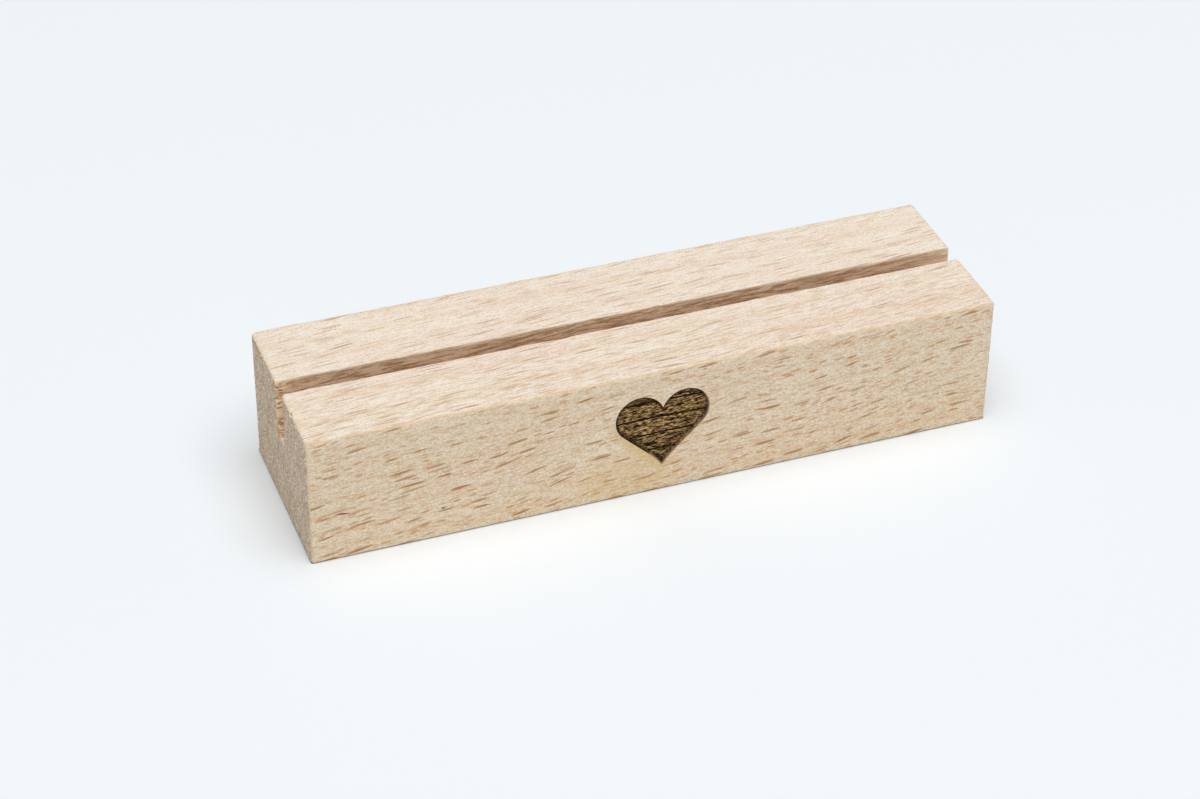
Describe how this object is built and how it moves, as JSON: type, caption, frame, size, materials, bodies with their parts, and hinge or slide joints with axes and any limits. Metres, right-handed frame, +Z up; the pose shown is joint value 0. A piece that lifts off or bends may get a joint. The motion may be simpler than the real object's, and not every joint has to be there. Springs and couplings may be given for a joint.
{
  "type": "wooden photo block holder",
  "caption": "Solid wooden tabletop block with a full-length slot along its top that holds a photo or card upright, and a heart engraved in its front face.",
  "frame": {"origin": "centre of the block's foot, on the surface that it stands on", "axes": "+X along the block and its slot, to the right as seen from the heart side; -Y out of the front face with the heart; +Z up, out of the slot's mouth"},
  "size_m": [0.11, 0.0306, 0.022],
  "materials": {
    "beech": "bare beech, sanded, unvarnished",
    "charred_beech": "beech charred dark brown by the engraving laser"
  },
  "bodies": {
    "root": {"block": "beech", "heart_char_layer": "charred_beech"}
  },
  "joints": []
}
